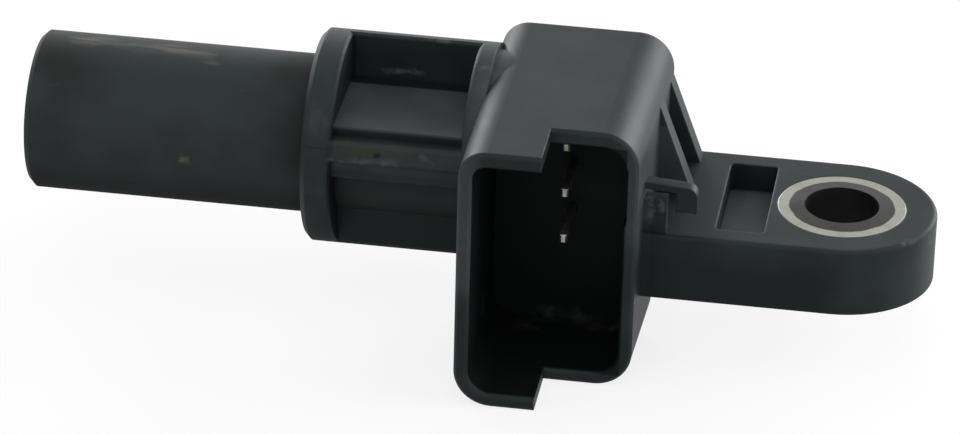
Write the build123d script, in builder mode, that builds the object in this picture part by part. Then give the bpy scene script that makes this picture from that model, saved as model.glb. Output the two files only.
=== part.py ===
from build123d import *
import os

os.makedirs("parts", exist_ok=True)

# Frame: origin on the fixing bush's axis at the seat face under the ear.
# The probe points along -X, the connector opens along -Y, +Z is up.

# Fixing ear and bush
ear_radius = 8.95
ear_thickness = 6.6
ear_edge_radius = 0.5
bush_radius = 6.0
bush_bore_radius = 3.5
bush_face_width = 1.1
bush_crown_height = 0.15
bush_groove_depth = 0.5
bush_groove_width = 1.6

# Cored pocket in the top of the ear
ear_pocket_length = 4.5
ear_pocket_width = 13.4
ear_pocket_depth = 3.0
ear_pocket_rim = 0.65
ear_pocket_corner_radius = 0.5

# Connector block
bush_to_connector = 17.8
connector_width = 15.8
connector_bottom = -7.6
connector_top = 18.7
connector_back = 9.0
connector_corner_radius = 3.5
connector_far_corner_radius = 2.6
back_edge_radius = 0.8
side_draft = 0.65
mouth_straight = 1.1
long_rim_reach = 19.1
rim_step = 6.0
rim_step_from_far_side = 7.6
rim_edge_chamfer = 0.3
shroud_wall = 1.3
shroud_top_wall = 1.5
socket_floor_reach = 3.2
socket_floor_wall = 2.0
keyway_depth = 0.35
keyway_length = 5.9

# Gussets between the ear and the connector block
gusset_height = 9.8
gusset_foot = 3.7
gusset_thickness = 2.0
near_gusset_back = 1.7

# Latch hook for the plug, on the connector's side wall
hook_set_back = 0.5
hook_thickness = 1.3
hook_leg_width = 2.2
hook_leg_height = 3.5
hook_slot = 1.0
hook_bar = 0.7
hook_reach = 5.0
hook_drop = 0.4
hook_tip_width = 1.95
hook_tip_height = 2.3
hook_corner_radius = 1.0

# Probe and collar
axis_height = 9.24
probe_radius = 7.5
probe_length = 26.85
probe_lead_in = 0.5
sleeve_wall = 1.2
collar_radius = 10.1
collar_length = 16.25
shoulder_chamfer = 0.5
collar_seat_depth = 0.5
collar_ring_width = 2.85
collar_inner_ring_width = 1.25
collar_core_radius = 7.1
collar_rib_offset = 3.6
collar_rib_thickness = 2.8
collar_ledge_width = 2.3
collar_ledge_drop = 0.9
collar_web_inset = 0.8
collar_web_height = 1.7
collar_pocket_chamfer = 0.25
spigot_gap = 0.55
core_radius = 3.7
fit_clearance = 0.05

# Electrical parts
pin_row_drop = 3.6
pin_pitch = 4.8
pin_offset = 7.3
pin_reach = 9.5
pin_width = 0.9
pin_chamfer = 0.15
pin_bend_radius = 0.8
strip_thickness = 0.64
strip_width = 1.3
strip_pitch = 2.0
strip_jog_length = 4.0
tip_gap = 0.2
chip_width = 5.2
chip_height = 4.6
chip_thickness = 1.5
pole_thickness = 1.0
magnet_side = 4.6
magnet_length = 5.0
leg_thickness = 0.4
leg_width = 0.6
leg_stand_off = 0.7
leg_jog_start = 0.8
leg_jog_length = 1.4
leg_weld_length = 2.0
capacitor_length = 3.2
capacitor_width = 1.6
capacitor_height = 1.3
capacitor_gap = 0.8
window_margin = 0.7

# Slack for picking edges and faces by their place
tolerance = 0.01

# Places worked out from the sizes above
connector_right = -bush_to_connector
connector_left = connector_right - connector_width
collar_left = connector_left - collar_length
probe_tip = collar_left - probe_length
short_rim_reach = long_rim_reach - rim_step
draft_start = short_rim_reach - mouth_straight
rim_step_x = connector_left + rim_step_from_far_side
ear_pocket_end = -bush_radius - ear_pocket_rim
pocket_left = collar_left + collar_ring_width
pocket_right = connector_left - collar_inner_ring_width
rib_near_side = collar_rib_offset - collar_rib_thickness / 2
rib_far_side = collar_rib_offset + collar_rib_thickness / 2
sleeve_bore_radius = probe_radius - sleeve_wall
spigot_radius = sleeve_bore_radius - fit_clearance
carrier_head_radius = sleeve_bore_radius - fit_clearance
pin_x = connector_left + shroud_wall + pin_offset
chip_front = probe_tip + sleeve_wall + tip_gap
chip_back = chip_front + chip_thickness
pole_back = chip_back + pole_thickness
magnet_back = pole_back + magnet_length
leg_plane = -chip_height / 2 - leg_stand_off
weld_plane = -strip_thickness / 2 - leg_thickness / 2
jog_start = magnet_back + leg_jog_start
jog_end = jog_start + leg_jog_length
weld_end = jog_end + leg_weld_length
strip_start = jog_start + leg_jog_length / 2
input_capacitor_x = weld_end + capacitor_gap + capacitor_width / 2
output_capacitor_x = input_capacitor_x + capacitor_width + capacitor_gap
window_end = output_capacitor_x + capacitor_width / 2 + capacitor_gap / 2
spigot_end = window_end + spigot_gap
window_half = strip_pitch + strip_width / 2 + window_margin
strip_jog_start = connector_left + shroud_wall


def axis_plane(x):
    # Plane across the probe's axis at x, with Y across and Z up
    return Plane(origin=(x, 0, axis_height), x_dir=(0, 1, 0), z_dir=(1, 0, 0))


def is_beside_connector(edge):
    # True for an edge that lies wholly on the ear's side of the connector
    return edge.bounding_box().max.X > connector_right + side_draft + tolerance


def is_off_rim_step(edge):
    # False for the upright edges of the step in the shroud's mouth
    return abs(edge.center().X - rim_step_x) > tolerance


def on_collar_surface(edge):
    # True for an edge where a collar pocket opens through the collar's outer surface
    middle = edge.position_at(0.5)
    height = middle.Z - axis_height
    radius = (middle.Y**2 + height**2) ** 0.5
    in_pocket = pocket_left - tolerance < middle.X < pocket_right + tolerance
    return in_pocket and abs(radius - collar_radius) < tolerance


def face_plane(reach):
    # Plane parallel to the connector's face, that far in front of the bush's axis
    return Plane.XZ.offset(reach)


# Fixing bush: a turned ring with a low crown on top and a groove that locks it in the plastic
with BuildPart() as mounting_bush:
    with BuildSketch(Plane.XZ):
        with BuildLine():
            crown_radius = bush_radius - bush_face_width
            groove_radius = bush_radius - bush_groove_depth
            groove_bottom = (ear_thickness - bush_groove_width) / 2
            groove_top = groove_bottom + bush_groove_width
            Polyline(
                (bush_bore_radius, 0),
                (bush_radius, 0),
                (bush_radius, groove_bottom),
                (groove_radius, groove_bottom),
                (groove_radius, groove_top),
                (bush_radius, groove_top),
                (bush_radius, ear_thickness),
                (crown_radius, ear_thickness),
                (bush_bore_radius, ear_thickness + bush_crown_height),
                close=True,
            )
        make_face()
    revolve(axis=Axis.Z)
mounting_bush.part.label = "mounting_bush"


# Terminals: a flat strip along the probe that jogs to its pin's height and bends into the socket
def make_terminal(label, strip_height, pin_height):
    strip_end = strip_jog_start + strip_jog_length
    with BuildPart() as terminal:
        with BuildSketch(face_plane(-strip_thickness / 2)):
            with BuildLine():
                Polyline(
                    (strip_start, strip_height),
                    (strip_jog_start, strip_height),
                    (strip_end, pin_height),
                    (strip_end + strip_width / 2, pin_height),
                )
            trace(line_width=strip_width)
        extrude(amount=strip_thickness)
        with BuildSketch(Plane.XY.offset(pin_height - pin_width / 2)):
            with BuildLine():
                FilletPolyline(
                    (strip_end, 0),
                    (pin_x, 0),
                    (pin_x, -pin_reach),
                    radius=pin_bend_radius,
                )
            trace(line_width=strip_thickness)
        extrude(amount=pin_width)
        pin_tip = terminal.faces().sort_by(Axis.Y)[0]
        chamfer(pin_tip.edges(), pin_chamfer)
    terminal.part.label = label
    return terminal.part


terminal_names = ["terminal_supply", "terminal_signal", "terminal_ground"]
terminals = []
for index, name in enumerate(terminal_names):
    strip_height = axis_height + (1 - index) * strip_pitch
    pin_height = connector_top - pin_row_drop - index * pin_pitch
    terminals.append(make_terminal(name, strip_height, pin_height))


# Housing: connector block, collar, spigot, ear, gussets and latch hook in one moulding
def shroud_outline(inset, top_inset, draft=0):
    # Outline of the shroud on a plane across its depth, moved in by the wall; draft widens its right side
    left = connector_left + inset
    right = connector_right - inset + draft
    bottom = connector_bottom + inset
    top = connector_top - top_inset
    with BuildSketch(mode=Mode.PRIVATE) as outline:
        with Locations(((left + right) / 2, (bottom + top) / 2)):
            Rectangle(right - left, top - bottom)
        corners = outline.vertices()
        far_top = corners.group_by(Axis.Y)[-1].sort_by(Axis.X)[0]
        other_corners = [corner for corner in corners if corner != far_top]
        fillet(other_corners, connector_corner_radius - inset)
        far_top = outline.vertices().group_by(Axis.Y)[-1].sort_by(Axis.X)[0]
        fillet(far_top, connector_far_corner_radius - inset)
    return outline.sketch


with BuildPart() as housing:
    # Connector block: straight at the mouth, then wider towards the back on the ear's side
    with BuildSketch(face_plane(draft_start)):
        add(shroud_outline(0, 0))
    extrude(amount=long_rim_reach - draft_start)
    with BuildSketch(face_plane(-connector_back)):
        add(shroud_outline(0, 0, side_draft))
    with BuildSketch(face_plane(draft_start)):
        add(shroud_outline(0, 0))
    loft()
    # Only its socket reaches below the seat
    with BuildSketch(face_plane(-connector_back)):
        with Locations((connector_left, 0)):
            Rectangle(connector_width + side_draft, -connector_bottom, align=(Align.MIN, Align.MAX))
    extrude(amount=connector_back + socket_floor_reach - socket_floor_wall, mode=Mode.SUBTRACT)
    back_face = housing.faces().sort_by(Axis.Y)[-1]
    fillet(back_face.edges(), back_edge_radius)

    # Collar between two rings, with ribs that stand off-centre on its core
    with BuildSketch(axis_plane(collar_left)):
        Circle(collar_radius)
    extrude(amount=collar_length + collar_seat_depth)
    shoulder = housing.faces().sort_by(Axis.X)[0]
    chamfer(shoulder.edges(), shoulder_chamfer)
    # Fill between the collar and the connector's rounded corner
    with BuildSketch(axis_plane(connector_left)):
        Circle(connector_top - axis_height)
        clear_of_back = connector_back - back_edge_radius
        Rectangle(2 * clear_of_back, 2 * collar_radius, mode=Mode.INTERSECT)
    extrude(amount=connector_far_corner_radius)
    with BuildSketch(axis_plane(pocket_left)):
        Circle(collar_radius + 1)
        Circle(collar_core_radius, mode=Mode.SUBTRACT)
        with PolarLocations(0, 4):
            with Locations((collar_radius / 2, -collar_rib_offset)):
                Rectangle(collar_radius + 2, collar_rib_thickness, mode=Mode.SUBTRACT)
        with PolarLocations(0, 2):
            # Flat pocket floor, level with the rib beside it
            with Locations((-rib_near_side, -rib_far_side)):
                Rectangle(
                    rib_near_side + collar_core_radius,
                    collar_core_radius - rib_far_side,
                    align=(Align.MIN, Align.MAX),
                )
            # Ledge along the rib's outer edge
            with Locations((collar_radius - collar_ledge_width, -rib_far_side)):
                Rectangle(
                    collar_ledge_width + 1,
                    collar_ledge_drop,
                    align=(Align.MIN, Align.MIN),
                )
            # Web that backs the rib on its other side
            with Locations((0, -rib_near_side)):
                Rectangle(
                    collar_radius - collar_web_inset,
                    collar_web_height,
                    align=(Align.MIN, Align.MIN),
                    mode=Mode.SUBTRACT,
                )
    extrude(amount=pocket_right - pocket_left, mode=Mode.SUBTRACT)
    pocket_edges = housing.edges().filter_by(on_collar_surface)
    chamfer(pocket_edges, collar_pocket_chamfer)

    # Spigot that carries the probe's sleeve
    with BuildSketch(axis_plane(collar_left)):
        Circle(spigot_radius)
    extrude(amount=spigot_end - collar_left)

    # Fixing ear
    with BuildSketch(Plane.XY) as ear_outline:
        Circle(ear_radius)
        with Locations((connector_right / 2, 0)):
            Rectangle(bush_to_connector, 2 * ear_radius)
    extrude(amount=ear_thickness)
    ear_top_level = (ear_thickness - tolerance, ear_thickness + tolerance)
    ear_top_edges = housing.edges().filter_by_position(Axis.Z, *ear_top_level)
    fillet(ear_top_edges.filter_by(is_beside_connector), ear_edge_radius)
    with BuildSketch(Plane.XY.offset(ear_thickness)):
        with Locations((ear_pocket_end - ear_pocket_length / 2, 0)):
            RectangleRounded(ear_pocket_length, ear_pocket_width, ear_pocket_corner_radius)
    extrude(amount=-ear_pocket_depth, mode=Mode.SUBTRACT)

    # Gussets
    for gusset_back in (connector_back - back_edge_radius, near_gusset_back):
        with BuildSketch(face_plane(-gusset_back)):
            with BuildLine():
                Polyline(
                    (connector_right - shroud_wall, ear_thickness),
                    (connector_right + gusset_foot, ear_thickness),
                    (connector_right, ear_thickness + gusset_height),
                    (connector_right - shroud_wall, ear_thickness + gusset_height),
                    close=True,
                )
            make_face()
        extrude(amount=gusset_thickness)

    # Latch hook
    hook_plane = face_plane(ear_radius - hook_set_back - hook_thickness)
    with BuildSketch(hook_plane) as hook_outline:
        with BuildLine():
            wall_x = connector_right - shroud_wall / 2
            slot_bottom = ear_thickness + hook_leg_height
            slot_top = slot_bottom + hook_slot
            tip_inner = connector_right + hook_reach - hook_tip_width
            tip_bottom = ear_thickness + hook_tip_height
            Polyline(
                (wall_x, slot_top),
                (tip_inner, slot_top - hook_drop / 2),
                (tip_inner, tip_bottom),
                (connector_right + hook_reach, tip_bottom),
                (connector_right + hook_reach, slot_top + hook_bar - hook_drop),
                (wall_x, slot_top + hook_bar),
                close=True,
            )
        make_face()
        tip_corners = hook_outline.vertices().group_by(Axis.X)[-1]
        fillet(tip_corners.sort_by(Axis.Y)[-1], hook_corner_radius)
        leg_bottom = ear_thickness - ear_edge_radius
        with Locations((connector_right, leg_bottom)):
            Rectangle(hook_leg_width, slot_bottom - leg_bottom, align=(Align.MIN, Align.MIN))
    extrude(amount=hook_thickness)

    # Stepped mouth and the socket behind it
    with BuildSketch(face_plane(short_rim_reach)):
        with Locations(((rim_step_x + connector_right) / 2, (connector_bottom + connector_top) / 2)):
            Rectangle(connector_right - rim_step_x, connector_top - connector_bottom)
    extrude(amount=rim_step, mode=Mode.SUBTRACT)
    with BuildSketch(face_plane(socket_floor_reach)):
        add(shroud_outline(shroud_wall, shroud_top_wall))
    extrude(amount=long_rim_reach - socket_floor_reach, mode=Mode.SUBTRACT)
    mouth_depths = (-long_rim_reach - tolerance, -short_rim_reach + tolerance)
    mouth_faces = housing.faces().filter_by(Axis.Y).filter_by_position(Axis.Y, *mouth_depths)
    chamfer(mouth_faces.edges().filter_by(is_off_rim_step), rim_edge_chamfer)
    with BuildSketch(face_plane(socket_floor_reach)):
        keyway_top = connector_top - connector_corner_radius
        with Locations((connector_right - shroud_wall, keyway_top - keyway_length / 2)):
            Rectangle(2 * keyway_depth, keyway_length)
    extrude(amount=long_rim_reach - socket_floor_reach, mode=Mode.SUBTRACT)

    # Bore for the sensor's core, hole for the bush, and the terminals' own passages
    with BuildSketch(axis_plane(spigot_end)):
        Circle(core_radius)
    extrude(amount=connector_left - spigot_end, mode=Mode.SUBTRACT)
    with BuildSketch(Plane.XY):
        Circle(bush_radius - bush_groove_depth)
    extrude(amount=ear_thickness, mode=Mode.SUBTRACT)
    add(mounting_bush.part, mode=Mode.SUBTRACT)
    for terminal in terminals:
        add(terminal, mode=Mode.SUBTRACT)
housing.part.label = "housing"


# Probe sleeve: a thin closed tube pushed over the spigot up to the collar
with BuildPart() as probe_sleeve:
    with BuildSketch(axis_plane(probe_tip)):
        Circle(probe_radius)
    extrude(amount=probe_length)
    tip_face = probe_sleeve.faces().sort_by(Axis.X)[0]
    chamfer(tip_face.edges(), probe_lead_in)
    with BuildSketch(axis_plane(probe_tip + sleeve_wall)):
        Circle(sleeve_bore_radius)
    extrude(amount=probe_length - sleeve_wall, mode=Mode.SUBTRACT)
probe_sleeve.part.label = "probe_sleeve"


# Hall chip, pole piece and magnet, stacked behind the probe's end wall
with BuildPart() as hall_chip:
    with BuildSketch(axis_plane(chip_front)):
        Rectangle(chip_height, chip_width)
    extrude(amount=chip_thickness)
hall_chip.part.label = "hall_chip"

with BuildPart() as pole_piece:
    with BuildSketch(axis_plane(chip_back)):
        Rectangle(magnet_side, magnet_side)
    extrude(amount=pole_thickness)
pole_piece.part.label = "pole_piece"

with BuildPart() as bias_magnet:
    with BuildSketch(axis_plane(pole_back)):
        Rectangle(magnet_side, magnet_side)
    extrude(amount=magnet_length)
bias_magnet.part.label = "bias_magnet"


# Chip legs: formed from the chip's edge, past the magnet, down onto the strips
with BuildPart() as chip_legs:
    for index in range(3):
        leg_height = axis_height + (1 - index) * strip_pitch
        with BuildSketch(Plane.XY.offset(leg_height - leg_width / 2)):
            with BuildLine():
                chip_middle = chip_front + chip_thickness / 2
                FilletPolyline(
                    (chip_middle, -chip_height / 2),
                    (chip_middle, leg_plane),
                    (jog_start, leg_plane),
                    (jog_end, weld_plane),
                    (weld_end, weld_plane),
                    radius=leg_thickness,
                )
            trace(line_width=leg_thickness)
        extrude(amount=leg_width)
chip_legs.part.label = "chip_legs"


# Chip capacitors: each bridges two neighbouring strips
def make_capacitor(label, x, height):
    with BuildPart() as capacitor:
        with BuildSketch(face_plane(strip_thickness / 2)):
            with Locations((x, height)):
                Rectangle(capacitor_width, capacitor_length)
        extrude(amount=capacitor_height)
    capacitor.part.label = label
    return capacitor.part


input_capacitor = make_capacitor("input_capacitor", input_capacitor_x, axis_height + strip_pitch / 2)
output_capacitor = make_capacitor("output_capacitor", output_capacitor_x, axis_height - strip_pitch / 2)

electrical_parts = [hall_chip.part, pole_piece.part, bias_magnet.part, chip_legs.part]
electrical_parts += [input_capacitor, output_capacitor]


# Window in front of the legs and strips, which the resin fills
with BuildPart() as window:
    with BuildSketch(axis_plane(chip_front)):
        Circle(carrier_head_radius)
        with Locations((-magnet_side / 2, 0)):
            Rectangle(
                carrier_head_radius,
                2 * window_half,
                align=(Align.MAX, Align.CENTER),
                mode=Mode.INTERSECT,
            )
    extrude(amount=window_end - chip_front)
    with BuildSketch(axis_plane(magnet_back)):
        with Locations((-strip_thickness / 2, 0)):
            Rectangle(
                magnet_side / 2 - strip_thickness / 2,
                2 * window_half,
                align=(Align.MAX, Align.CENTER),
            )
    extrude(amount=window_end - magnet_back)

with BuildPart() as potting_resin:
    add(window.part)
    for piece in electrical_parts + terminals:
        add(piece, mode=Mode.SUBTRACT)
potting_resin.part.label = "potting_resin"


# Sensor carrier: the moulded core, wide in the probe and slim in the collar
with BuildPart() as sensor_carrier:
    with BuildSketch(axis_plane(chip_front)):
        Circle(carrier_head_radius)
    extrude(amount=spigot_end - chip_front)
    with BuildSketch(axis_plane(spigot_end)):
        Circle(core_radius - fit_clearance)
    extrude(amount=connector_left - spigot_end)
    add(window.part, mode=Mode.SUBTRACT)
    for piece in electrical_parts + terminals:
        add(piece, mode=Mode.SUBTRACT)
sensor_carrier.part.label = "sensor_carrier"


pieces = [housing.part, probe_sleeve.part, mounting_bush.part, sensor_carrier.part, potting_resin.part]
for piece in pieces + electrical_parts + terminals:
    export_step(piece, f"parts/{piece.label}.step")
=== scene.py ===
import math

import bpy
from mathutils import Matrix, Vector


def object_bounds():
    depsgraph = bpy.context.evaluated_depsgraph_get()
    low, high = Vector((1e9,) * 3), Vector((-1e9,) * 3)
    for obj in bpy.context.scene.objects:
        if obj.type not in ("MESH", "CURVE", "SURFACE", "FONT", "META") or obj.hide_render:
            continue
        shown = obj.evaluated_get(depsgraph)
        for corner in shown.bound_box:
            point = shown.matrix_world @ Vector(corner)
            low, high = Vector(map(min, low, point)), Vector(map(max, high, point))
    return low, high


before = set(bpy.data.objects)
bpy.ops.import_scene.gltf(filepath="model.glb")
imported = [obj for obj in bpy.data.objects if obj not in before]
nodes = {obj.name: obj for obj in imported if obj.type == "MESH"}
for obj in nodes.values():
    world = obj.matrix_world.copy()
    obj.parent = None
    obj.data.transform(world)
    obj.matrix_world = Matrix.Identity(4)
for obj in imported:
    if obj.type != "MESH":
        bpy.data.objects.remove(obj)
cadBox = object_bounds()     # the CAD model's own box, for the floor's height
mm = 0.001
print("frame loaded:", len(nodes), "nodes")

# Camera, where the photograph was taken from
cameraLook = {
    "aim": (-33.32, -6.05, 5.17),    # mm, the point in the middle of the picture
    "distance": 489.7,               # mm
    "azimuth": 8.207,                # degrees round the object from its socket side
    "elevation": 28.3,
    "roll": 1.471,
    "lens": 196.4,                   # mm, on a sensor 36 mm wide
}


def placeCamera(look):
    data = bpy.data.cameras.new("camera")
    data.lens = look["lens"]
    camera = bpy.data.objects.new("camera", data)
    bpy.context.scene.collection.objects.link(camera)
    turn = Matrix.Rotation(math.radians(look["azimuth"]), 4, "Z")
    tilt = Matrix.Rotation(math.radians(90 - look["elevation"]), 4, "X")
    roll = Matrix.Rotation(math.radians(look["roll"]), 4, "Z")
    aim = Matrix.Translation(Vector(look["aim"]) * mm)
    back = Matrix.Translation((0, 0, look["distance"] * mm))
    camera.matrix_world = aim @ turn @ tilt @ roll @ back
    bpy.context.scene.camera = camera


placeCamera(cameraLook)
print("camera placed")


# Shader maths: a wire is a node's output, and sums, products and powers of wires add Math nodes
class Wire:
    def __init__(self, sheet, socket):
        self.sheet = sheet
        self.socket = socket

    def __add__(self, other):
        return self.sheet.maths("ADD", self, other)

    def __sub__(self, other):
        return self.sheet.maths("SUBTRACT", self, other)

    def __rsub__(self, other):
        return self.sheet.maths("SUBTRACT", other, self)

    def __mul__(self, other):
        return self.sheet.maths("MULTIPLY", self, other)

    def __pow__(self, other):
        return self.sheet.maths("POWER", self, other)

    __radd__ = __add__
    __rmul__ = __mul__


# A sheet is one node tree, and every node on it comes from one method
class Sheet:
    def __init__(self, owner):
        owner.use_nodes = True
        self.tree = owner.node_tree
        self.tree.nodes.clear()

    def node(self, kind, settings, inputs, output=0):
        made = self.tree.nodes.new("ShaderNode" + kind)
        for name, value in settings.items():
            setattr(made, name, value)
        for name, value in inputs.items():
            if isinstance(value, Wire):
                self.tree.links.new(value.socket, made.inputs[name])
            else:
                made.inputs[name].default_value = value
        return None if output is None else Wire(self, made.outputs[output])

    def maths(self, operation, *values):
        return self.node("Math", {"operation": operation}, dict(enumerate(values)))

    def showsBackdrop(self):
        # 1 for rays that meet the backdrop straight from the camera, in gloss or through glass
        seen = self.node("LightPath", {}, {}, "Is Camera Ray")
        for ray in ("Is Glossy Ray", "Is Transmission Ray"):
            seen = self.maths("MAXIMUM", seen, self.node("LightPath", {}, {}, ray))
        return seen


# A finish is one material, with its coordinates in millimetres
class Finish(Sheet):
    def __init__(self, name):
        self.material = bpy.data.materials.new(name)
        super().__init__(self.material)
        metres = self.node("TexCoord", {}, {}, "Object")
        self.place = self.vector("SCALE", {0: metres, "Scale": 1 / mm})
        self.x, self.y, self.z = [self.node("SeparateXYZ", {}, {0: self.place}, axis) for axis in "XYZ"]

    def vector(self, operation, inputs, output=0):
        return self.node("VectorMath", {"operation": operation}, inputs, output)

    def noise(self, size, detail=2, stretch=(1, 1, 1), turn=(0, 0, 0)):
        # Soft random patches about that many millimetres across, turned and drawn out along their axes
        inputs = {"Vector": self.place, "Scale": stretch, "Rotation": turn}
        place = self.node("Mapping", {"vector_type": "TEXTURE"}, inputs)
        return self.node("TexNoise", {}, {"Vector": place, "Scale": 1 / size, "Detail": detail})

    def rise(self, value, low, high):
        # 0 below low, 1 above high and a soft step between
        settings = {"interpolation_type": "SMOOTHSTEP"}
        return self.node("MapRange", settings, {"Value": value, "From Min": low, "From Max": high})

    def between(self, value, low, high, soft):
        # 1 from low to high, with soft ends
        return self.rise(value, low - soft, low + soft) - self.rise(value, high - soft, high + soft)

    def inside(self, low, high, soft):
        # 1 inside a box given by its lowest and highest corner in millimetres
        masks = [self.between(*part, soft) for part in zip((self.x, self.y, self.z), low, high)]
        return masks[0] * masks[1] * masks[2]

    def streak(self, start, end, width, fray):
        # 1 along the line between two points, with a soft border that fray moves in and out by widths
        along = Vector(end) - Vector(start)
        offset = self.vector("SUBTRACT", {0: self.place, 1: start})
        steps = {0: offset, 1: along / along.length_squared}
        share = self.maths("MAXIMUM", self.vector("DOT_PRODUCT", steps, "Value"), 0)
        foot = self.vector("SCALE", {0: along, "Scale": self.maths("MINIMUM", share, 1)})
        gap = self.vector("DISTANCE", {0: offset, 1: foot}, "Value")
        return 1 - self.rise(gap + fray * width, 0, width)

    def marks(self, streaks, fray, patchy):
        # All the streaks of one look in one mask, each with its own strength
        mask = 0
        for start, end, width, strength in streaks:
            mask = self.maths("MAXIMUM", mask, self.streak(start, end, width, fray) * strength)
        return patchy * mask

    def mix(self, share, first, second):
        # Between two colours: sockets 6 and 7 of the Mix node, and its output 2
        return self.node("Mix", {"data_type": "RGBA"}, {0: share, 6: first, 7: second}, 2)

    def rounded(self, radius):
        # The surface's direction as if every edge had that radius
        return self.node("Bevel", {"samples": 6}, {"Radius": radius * mm})

    def blend(self, share, first, second):
        # Between two directions: sockets 4 and 5, and output 1
        return self.node("Mix", {"data_type": "VECTOR"}, {0: share, 4: first, 5: second}, 1)

    def openness(self, reach):
        # 1 on open faces, lower in corners and hollows
        settings = {"samples": 6, "only_local": True}
        return self.node("AmbientOcclusion", settings, {"Distance": reach * mm}, "AO")

    def bump(self, height, normal):
        # Height in millimetres
        return self.node("Bump", {}, {"Distance": mm, "Height": height, "Normal": normal})

    def surface(self, inputs):
        shader = self.node("BsdfPrincipled", {}, inputs)
        self.node("OutputMaterial", {}, {"Surface": shader}, None)
        return self.material


print("shader tools ready")

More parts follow.
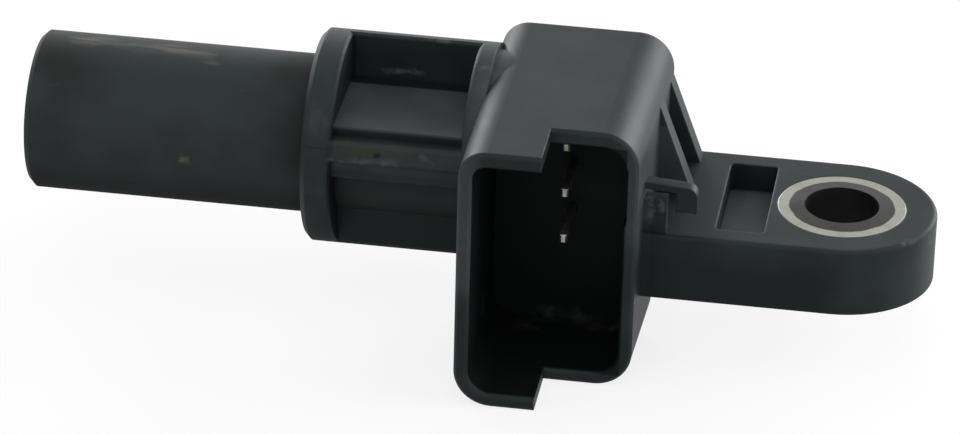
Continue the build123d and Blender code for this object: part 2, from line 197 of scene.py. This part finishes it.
# Housing: black glass-filled plastic, satin from the mould, with rubbed edges
housingLook = {
    "colour": (0.0104, 0.0128, 0.0132, 1),
    "cloud": (0.0168, 0.0216, 0.0224, 1),   # paler, drier patches
    "paleWearAndHighlight": (0.075, 0.082, 0.082, 1),     # on worn edges, scratches and rubs, and for painted highlights
    "shade": (0.0050, 0.0056, 0.0058, 1),   # painted shade in corners, on the underside and in the shaded places, and the colour of real nicks
    "stain": (0.030, 0.028, 0.019, 1),
    "tint": (0.82, 0.97, 1.0, 1),           # of the gloss
    # painted light: a pale colour that lightens shaded faces and stands in for highlights on rounded edges
    "paintedLight": (0.075, 0.083, 0.084, 1),
    "socketHighlightColour": (0.030, 0.031, 0.030, 1),    # painted highlights on the socket's lower walls
    # painted shade: the socket's inside near black
    "socketShade": (0.0014, 0.0015, 0.0015, 1),
    # Sizes in mm; edges are the two values between which a pattern or wear fades in
    "cloudSize": 5.5,
    "cloudEdges": (0.35, 0.68),
    "grainSize": 0.16,
    "poreSize": 0.64,
    "grainHeight": 0.006,
    "scratchSize": 0.30,
    "scratchStretch": (9, 1, 1),
    "scratchTurn": (0.2, 0.5, 0.9),
    "scratchEdges": (0.66, 0.76),
    "scratchPatch": 3.0,
    "scratchPatchEdges": (0.50, 0.62),
    "scratches": 0.10,                      # how strongly they pale the colour
    "scratchDepth": 0.003,
    "edgeRadius": 0.30,
    "wearEdges": (0.02, 0.28),
    "wearPatch": 1.1,
    "wearPatchEdges": (0.40, 0.62),
    "wear": 0.45,                           # how strongly worn edges pale
    "cornerReach": 1.6,                     # how far round a point corners are felt
    "cornerEdges": (0.30, 0.70),
    "outerEdges": (0.62, 0.80),
    "paintedShade": 0.5,                           # strength of the painted shade in the corners and on the underside
    "undersideEdges": (-0.85, -0.15),
    "rubStretch": (1, 1, 1),                # how far the worn patches are drawn out along X, Y and Z
    "fraySize": 0.9,
    "fray": 2.4,                            # how far a mark's border wanders, in its widths
    "patchSize": 1.3,                       # of the patches that marks break up into
    "patchEdges": (0.42, 0.56),
    "patchLeast": 0.45,                     # strength of a mark between its patches
    "patchMore": 0.75,                      # and how much more it has in them
    "litPatchEdges": (0.35, 0.65),
    "litLeast": 0.75,                      # share of the painted light where it is thinnest
    "roughness": 0.52,
    "cloudRoughness": 0.22,
    "grainRoughness": 0.12,
    "cornerRoughness": 0.12,
    "undersideRoughness": 0.28,
    "wearPolish": 0.06,                     # how much smoother wear and rubs are
    "rubPolish": 0.05,
    "socketRoughness": 0.62,
    "shine": 0.15,
    # Places: lowest and highest corner, how softly they end and, for painted light and painted shade, the
    # strength
    "socket": ((-32.4, -18.6, -6.4), (-18.9, -3.1, 17.3), 0.06),
    # painted light on the pocket floors, the rib's front, the ring, the block's rounded edges and right wall,
    # the gussets and the ear's end
    "litPlaces": [
        ((-11.3, -6.9, 3.4), (-6.5, 6.9, 3.8), 0.1, 1.0),
        ((-47.1, -8.0, 14.0), (-34.7, 1.4, 14.4), 0.15, 0.58),
        ((-47.0, -10.6, 10.6), (-34.8, -8.9, 13.4), 0.4, 0.20),
        ((-50.4, -10.6, 8.0), (-47.3, 10.6, 20.0), 0.4, 0.09),
        ((-34.4, -19.6, 4.0), (-31.8, 9.6, 19.2), 1.2, 0.55),
        ((-19.6, -13.4, 8.0), (-17.2, 9.6, 19.2), 1.2, 0.36),
        ((-18.2, -12.6, -3.0), (-17.0, -6.6, 9.0), 0.4, 0.15),
        ((-17.6, -7.6, 6.9), (-11.4, 7.6, 16.5), 0.3, 0.10),
        ((-17.8, -0.7, 6.8), (-14.0, 0.1, 13.4), 0.15, 0.55),
        ((7.8, -6.5, 0.2), (9.2, 1.5, 6.8), 0.7, 0.22),
    ],
    # painted shade on the ear's front, the collar's lower side, the pocket's left wall and back corner, and
    # the ear top beside the block
    "shadedPlaces": [
        ((-20.0, -12.0, -4.0), (0.5, -7.0, 4.8), 2.0, 0.75),
        ((-48.0, -12.0, -2.0), (-33.0, 12.0, 7.4), 1.6, 0.75),
        ((-47.2, -10.3, -1.0), (-46.7, 3.0, 19.0), 0.15, 0.80),
        ((-47.1, 1.3, 14.0), (-34.7, 2.3, 14.6), 0.25, 0.85),
        ((-17.5, -9.0, 6.0), (-11.4, 9.0, 7.2), 0.6, 0.45),
    ],
    # Marks: from, to, width and strength
    "rubsAndHighlights": [
        ((-46.8, -9.60, 11.6), (-41.0, -9.75, 11.9), 0.60, 0.50),
        ((-38.4, -9.44, 12.8), (-37.3, -9.68, 12.1), 0.35, 0.65),
        # the next three are painted highlights on the rib's ledge, the top rib's wall and the ring
        ((-45.6, -8.85, 14.1), (-41.8, -8.85, 14.1), 0.35, 0.30),
        ((-44.1, 2.20, 15.5), (-40.4, 2.20, 15.4), 0.50, 0.75),
        ((-39.7, 2.39, 19.0), (-38.1, 2.43, 19.0), 0.50, 0.55),
        ((-33.9, -2.73, 18.9), (-33.3, -2.50, 18.8), 0.60, 0.40),
        ((6.3, -5.90, 6.50), (7.3, -5.00, 6.45), 0.50, 0.80),
        ((8.4, -2.90, 6.0), (8.5, -2.60, 5.0), 0.40, 0.50),
        # the next two are painted highlights on the hook's leg
        ((-17.2, -8.30, 10.1), (-17.1, -8.45, 8.2), 0.60, 0.75),
        ((-16.1, -8.45, 9.9), (-15.9, -8.45, 9.0), 0.50, 0.70),
        ((-48.6, -8.10, 15.2), (-48.8, -8.82, 14.0), 1.60, 0.14),
    ],
    "stains": [
        ((-45.5, -9.41, 12.9), (-43.2, -9.49, 12.7), 1.10, 0.60),
        ((-41.5, -9.50, 12.7), (-39.5, -9.50, 12.6), 0.80, 0.35),
    ],
    "nicks": [
        ((-42.7, -9.60, 12.4), (-42.5, -9.60, 12.5), 0.35, 0.80),
        ((-49.7, -9.50, 12.67), (-47.3, -9.50, 12.67), 0.22, 0.60),
    ],
    # painted highlights along the socket's lower walls
    "socketHighlights": [
        ((-32.3, -9.70, -1.9), (-29.0, -5.40, -6.3), 1.50, 0.45),
        ((-27.1, -3.20, -6.1), (-20.6, -4.60, -6.2), 1.50, 0.50),
    ],
}

# Probe sleeve: the same plastic without glass, matt and finely scuffed
sleeveLook = {
    **housingLook,
    "colour": (0.0178, 0.0188, 0.0184, 1),
    "cloud": (0.0300, 0.0360, 0.0370, 1),
    "paleWearAndHighlight": (0.110, 0.108, 0.092, 1),
    "cloudSize": 11.0,
    "grainSize": 0.12,
    "poreSize": 0.48,
    "grainHeight": 0.005,
    "scratchTurn": (0.2, 0.04, 0.03),
    "scratches": 0.16,
    "roughness": 0.66,
    "shine": 0.11,
    "rubStretch": (3.5, 0.7, 0.7),
    "rubsAndHighlights": [
        ((-61.35, -7.50, 9.11), (-60.95, -7.50, 9.10), 0.60, 1.60),   # a fleck, over 1 as its patches thin it
        ((-72.9, 0.50, 16.7), (-60.2, -0.50, 16.7), 1.20, 0.55),
        ((-62.2, -0.70, 16.7), (-59.9, -1.20, 16.6), 1.10, 0.50),
    ],
    "stains": [],
    "nicks": [],
    "socketHighlights": [],
    "litPlaces": [],
    # painted shade on the sleeve's lower half
    "shadedPlaces": [((-78.0, -9.0, 0.0), (-49.0, 9.0, 8.0), 3.0, 0.40)],
}


def mouldedPlastic(name, look):
    finish = Finish(name)
    clouds = finish.noise(look["cloudSize"], 3)
    grain = finish.noise(look["grainSize"])
    pores = finish.noise(look["poreSize"])
    lines = finish.noise(look["scratchSize"], 3, look["scratchStretch"], look["scratchTurn"])
    scratches = finish.rise(lines, *look["scratchEdges"])
    scratches = scratches * finish.rise(finish.noise(look["scratchPatch"]), *look["scratchPatchEdges"])

    # Edges are eased and worn where they stand free, and corners and the underside get painted shade
    openFaces = finish.openness(look["cornerReach"])
    outer = finish.rise(openFaces, *look["outerEdges"])
    flat = finish.node("NewGeometry", {}, {}, "Normal")
    eased = finish.blend(outer, flat, finish.rounded(look["edgeRadius"]))
    edge = 1 - finish.vector("DOT_PRODUCT", {0: eased, 1: flat}, "Value")
    worn = finish.rise(edge, *look["wearEdges"])
    worn = worn * finish.rise(finish.noise(look["wearPatch"], 3), *look["wearPatchEdges"])
    corner = 1 - finish.rise(openFaces, *look["cornerEdges"])
    upward = finish.node("SeparateXYZ", {}, {0: flat}, "Z")
    underside = 1 - finish.rise(upward, *look["undersideEdges"])

    # Marks of use with painted highlights, and the places of painted light and painted shade
    fray = (finish.noise(look["fraySize"], 4, look["rubStretch"]) - 0.5) * look["fray"]
    patches = finish.rise(finish.noise(look["patchSize"], 4, look["rubStretch"]), *look["patchEdges"])
    patchy = look["patchLeast"] + patches * look["patchMore"]
    rubsAndHighlights = finish.marks(look["rubsAndHighlights"], fray, patchy)
    litPatches = look["litLeast"] + finish.rise(clouds, *look["litPatchEdges"]) * (1 - look["litLeast"])
    socket = finish.inside(*look["socket"])

    colour = finish.mix(finish.rise(clouds, *look["cloudEdges"]), look["colour"], look["cloud"])
    # painted shade: darker in corners and on faces that look down
    colour = finish.mix(corner * look["paintedShade"], colour, look["shade"])
    colour = finish.mix(underside * look["paintedShade"], colour, look["shade"])
    # painted shade in the shaded places
    for low, high, soft, share in look["shadedPlaces"]:
        colour = finish.mix(finish.inside(low, high, soft) * share, colour, look["shade"])
    # painted light in the lit places
    for low, high, soft, share in look["litPlaces"]:
        colour = finish.mix(finish.inside(low, high, soft) * litPatches * share, colour, look["paintedLight"])
    colour = finish.mix(worn * look["wear"] + scratches * look["scratches"], colour, look["paleWearAndHighlight"])
    # rubs and scratches, and painted highlights
    colour = finish.mix(rubsAndHighlights, colour, look["paleWearAndHighlight"])
    colour = finish.mix(finish.marks(look["stains"], fray, patchy), colour, look["stain"])
    colour = finish.mix(finish.marks(look["nicks"], fray, patchy), colour, look["shade"])
    # painted shade inside the socket
    colour = finish.mix(socket, colour, look["socketShade"])
    # painted highlights on the socket's walls
    colour = finish.mix(finish.marks(look["socketHighlights"], fray, patchy), colour, look["socketHighlightColour"])

    roughness = look["roughness"] + (clouds - 0.5) * look["cloudRoughness"]
    roughness = roughness + (grain - 0.5) * look["grainRoughness"]
    roughness = roughness + corner * look["cornerRoughness"] + underside * look["undersideRoughness"]
    roughness = roughness - worn * look["wearPolish"] - rubsAndHighlights * look["rubPolish"]
    roughness = roughness + socket * (look["socketRoughness"] - look["roughness"])
    height = (grain + pores) * look["grainHeight"] - scratches * look["scratchDepth"]
    return finish.surface({
        "Base Color": colour,
        "Roughness": roughness,
        "Specular IOR Level": look["shine"],
        "Specular Tint": look["tint"],
        "Normal": finish.bump(height, eased),
    })


# Bush: turned steel, zinc plated, bright on its rim, darker and rougher on the crown, and painted near-black
# shade in the bore
bushLook = {
    "plate": (0.31, 0.315, 0.275, 1),
    "tarnish": (0.23, 0.23, 0.205, 1),
    "tarnished": 0.7,                       # how strongly the tarnish shows
    "crown": (0.027, 0.028, 0.025, 1),
    # painted shade inside the bore
    "bore": (0.005, 0.005, 0.005, 1),
    # Sizes in mm
    "rimEdges": (4.87, 5.03),               # radii where the bright rim fades in
    "rimWander": 0.3,                       # how far they wander
    "boreEdges": (3.52, 3.62),              # radii where the bore ends
    "patchSize": 2.2,
    "patchEdges": (0.40, 0.66),
    "turnPitch": 0.18,
    "turnHeight": 0.003,
    "wobbleSize": 1.5,
    "wobble": 3,                            # how far the turned lines wander, in radians
    "pitSize": 0.3,
    "pitHeight": 0.01,
    "edgeRadius": 0.12,
    "roughness": 0.34,
    "patchRoughness": 0.14,
    "crownRoughness": 0.22,
    "metallic": 0.30,
    "rimMetallic": 0.65,                    # added on the rim
    "shine": 0.25,
}


def turnedSteel(name, look):
    finish = Finish(name)
    radius = (finish.x * finish.x + finish.y * finish.y) ** 0.5
    wobble = finish.noise(look["wobbleSize"], 3)
    turning = finish.maths("SINE", radius * (2 * math.pi / look["turnPitch"]) + wobble * look["wobble"])
    patches = finish.rise(finish.noise(look["patchSize"], 4), *look["patchEdges"])
    rim = finish.rise(radius + (wobble - 0.5) * look["rimWander"], *look["rimEdges"])
    inBore = 1 - finish.rise(radius, *look["boreEdges"])
    colour = finish.mix(patches * look["tarnished"], look["plate"], look["tarnish"])
    colour = finish.mix(rim, look["crown"], colour)
    # painted shade in the bore
    colour = finish.mix(inBore, colour, look["bore"])
    roughness = look["roughness"] + patches * look["patchRoughness"] + (1 - rim) * look["crownRoughness"]
    height = turning * look["turnHeight"] + finish.noise(look["pitSize"]) * look["pitHeight"]
    return finish.surface({
        "Base Color": colour,
        "Metallic": look["metallic"] + rim * look["rimMetallic"],
        "Roughness": roughness,
        "Specular IOR Level": look["shine"],
        "Normal": finish.bump(height, finish.rounded(look["edgeRadius"])),
    })


# Bright and dull metals of the pins and the parts inside
metalLooks = {
    "tin": {"colour": (0.34, 0.34, 0.32, 1), "dull": (0.20, 0.20, 0.18, 1), "roughness": 0.34},
    "poleSteel": {"colour": (0.42, 0.42, 0.43, 1), "dull": (0.22, 0.21, 0.20, 1), "roughness": 0.38},
    "magnet": {"colour": (0.24, 0.24, 0.25, 1), "dull": (0.12, 0.12, 0.12, 1), "roughness": 0.46},
}
metalGrain = {
    "patchSize": 1.4,                       # mm, as all sizes here
    "patchEdges": (0.42, 0.66),
    "patchRoughness": 0.14,
    "drawnSize": 0.09,
    "drawnStretch": (1, 12, 1),             # drawn out along Y, as the pins are
    "drawnRoughness": 0.16,
    "drawnHeight": 0.008,
    "edgeRadius": 0.06,
    "metallic": 0.92,
    "patchMetallic": 0.10,                  # taken off in the dull patches
}
pinShade = {
    "place": ((-26.2, -8.6, 4.4), (-24.2, -3.0, 16.2), 0.4),   # mm, painted shade on the pins behind their bright tips
    "colour": (0.085, 0.080, 0.070, 1),
    "roughness": 0.2,                       # added to the metal's own
}


def platedMetal(name, look):
    finish = Finish(name)
    patches = finish.rise(finish.noise(metalGrain["patchSize"], 4), *metalGrain["patchEdges"])
    drawn = finish.noise(metalGrain["drawnSize"], 2, metalGrain["drawnStretch"])
    shadedPins = finish.inside(*pinShade["place"])
    colour = finish.mix(patches, look["colour"], look["dull"])
    # painted shade on the pins inside the socket
    colour = finish.mix(shadedPins, colour, pinShade["colour"])
    roughness = look["roughness"] + patches * metalGrain["patchRoughness"]
    roughness = roughness + (drawn - 0.5) * metalGrain["drawnRoughness"] + shadedPins * pinShade["roughness"]
    height = drawn * metalGrain["drawnHeight"]
    return finish.surface({
        "Base Color": colour,
        "Metallic": metalGrain["metallic"] - patches * metalGrain["patchMetallic"],
        "Roughness": roughness,
        "Normal": finish.bump(height, finish.rounded(metalGrain["edgeRadius"])),
    })


# Matt and glossy insulators of the parts inside
insulatorLooks = {
    "carrier": {"colour": (0.022, 0.022, 0.023, 1), "cloud": (0.034, 0.034, 0.034, 1), "roughness": 0.55},
    "chipEpoxy": {"colour": (0.010, 0.010, 0.011, 1), "cloud": (0.018, 0.018, 0.019, 1), "roughness": 0.42},
    "ceramic": {"colour": (0.30, 0.20, 0.12, 1), "cloud": (0.38, 0.27, 0.17, 1), "roughness": 0.48},
    "resin": {"colour": (0.016, 0.012, 0.009, 1), "cloud": (0.028, 0.022, 0.016, 1), "roughness": 0.18},
}
insulatorGrain = {
    "cloudSize": 1.8,                       # mm, as all sizes here
    "cloudEdges": (0.38, 0.66),
    "cloudRoughness": 0.12,
    "grainSize": 0.14,
    "grainRoughness": 0.10,
    "grainHeight": 0.008,
    "edgeRadius": 0.08,
}


def castInsulator(name, look):
    finish = Finish(name)
    clouds = finish.rise(finish.noise(insulatorGrain["cloudSize"], 4), *insulatorGrain["cloudEdges"])
    grain = finish.noise(insulatorGrain["grainSize"])
    roughness = look["roughness"] + (clouds - 0.5) * insulatorGrain["cloudRoughness"]
    roughness = roughness + (grain - 0.5) * insulatorGrain["grainRoughness"]
    height = grain * insulatorGrain["grainHeight"]
    return finish.surface({
        "Base Color": finish.mix(clouds, look["colour"], look["cloud"]),
        "Roughness": roughness,
        "Normal": finish.bump(height, finish.rounded(insulatorGrain["edgeRadius"])),
    })


def dress(names, material):
    # Every node keeps its shape and gets its finish in its first material slot
    for name in names:
        nodes[name].material_slots[0].material = material


dress(["housing"], mouldedPlastic("housing_black_plastic", housingLook))
dress(["probe_sleeve"], mouldedPlastic("sleeve_black_plastic", sleeveLook))
dress(["mounting_bush"], turnedSteel("bush_zinc_plate", bushLook))
tinned = ["terminal_supply", "terminal_signal", "terminal_ground", "chip_legs"]
dress(tinned, platedMetal("tinned_copper", metalLooks["tin"]))
dress(["pole_piece"], platedMetal("pole_steel_sheet", metalLooks["poleSteel"]))
dress(["bias_magnet"], platedMetal("ground_magnet", metalLooks["magnet"]))
dress(["sensor_carrier"], castInsulator("carrier_black_plastic", insulatorLooks["carrier"]))
dress(["hall_chip"], castInsulator("chip_black_epoxy", insulatorLooks["chipEpoxy"]))
dress(["input_capacitor", "output_capacitor"], castInsulator("brown_ceramic", insulatorLooks["ceramic"]))
dress(["potting_resin"], castInsulator("dark_resin", insulatorLooks["resin"]))
print("finishes made")


# Studio: a pale floor, an even room and five soft lamps
studio = {
    "floorColour": (0.80, 0.80, 0.80, 1),
    "floorCloud": (0.76, 0.76, 0.76, 1),
    "floorCloudSize": 400,                  # mm
    "floorWhite": 1.07,                     # what the camera sees where nothing shades it
    "floorShare": 0.74,                     # share of plain white against the lit floor
    "floorSize": 8.0,                       # m
    "room": 0.45,                           # how strongly the room itself lights the object
    "lampsAim": (-0.03, 0, 0),              # m, the middle of the object
}

lamps = {
    # name: where it stands (m), its side (m) and its power (W)
    "softboxTop": ((-0.10, 0.10, 1.00), 1.2, 1.8),
    "softboxBackLeft": ((-0.66, 0.95, 0.28), 0.65, 8.5),
    "softboxBackRight": ((0.64, 0.95, 0.28), 0.65, 9.5),
    "fillFront": ((0.00, -0.70, 0.85), 0.9, 3.0),
    "fillRight": ((0.90, 0.12, 0.40), 0.7, 5.0),
}


def placeLamp(name, spot, side, power, aim):
    data = bpy.data.lights.new(name, "AREA")
    data.shape = "SQUARE"
    data.size = side
    data.energy = power
    lamp = bpy.data.objects.new(name, data)
    bpy.context.scene.collection.objects.link(lamp)
    turned = (Vector(aim) - Vector(spot)).to_track_quat("-Z", "Y").to_matrix().to_4x4()
    lamp.matrix_world = Matrix.Translation(spot) @ turned


def makeFloor(look):
    bpy.ops.object.select_all(action="DESELECT")
    low = cadBox[0].z
    bpy.ops.mesh.primitive_plane_add(size=look["floorSize"], location=(0, 0, low))
    floor = bpy.context.object
    floor.name = "floor"
    bpy.ops.object.transform_apply(location=True)
    finish = Finish("pale_floor")
    tone = finish.mix(finish.noise(look["floorCloudSize"]), look["floorColour"], look["floorCloud"])
    lit = finish.node("BsdfDiffuse", {}, {"Color": tone})
    white = finish.node("Emission", {}, {"Color": (1, 1, 1, 1), "Strength": look["floorWhite"]})
    share = finish.showsBackdrop() * look["floorShare"]
    shown = finish.node("MixShader", {}, {0: share, 1: lit, 2: white})
    below = finish.node("NewGeometry", {}, {}, "Backfacing")      # from below the floor is clear
    clear = finish.node("BsdfTransparent", {}, {})
    both = finish.node("MixShader", {}, {0: below, 1: shown, 2: clear})
    finish.node("OutputMaterial", {}, {"Surface": both}, None)
    floor.data.materials.append(finish.material)


def makeRoom(look):
    world = bpy.data.worlds.new("room")
    bpy.context.scene.world = world
    sheet = Sheet(world)
    strength = sheet.showsBackdrop() * (1 - look["room"]) + look["room"]
    shine = sheet.node("Background", {}, {"Color": (1, 1, 1, 1), "Strength": strength})
    sheet.node("OutputWorld", {}, {"Surface": shine}, None)


makeFloor(studio)
makeRoom(studio)
for name, (spot, side, power) in lamps.items():
    placeLamp(name, spot, side, power, studio["lampsAim"])
bpy.context.scene.view_settings.view_transform = "Standard"
print("studio lit")

print("finished")
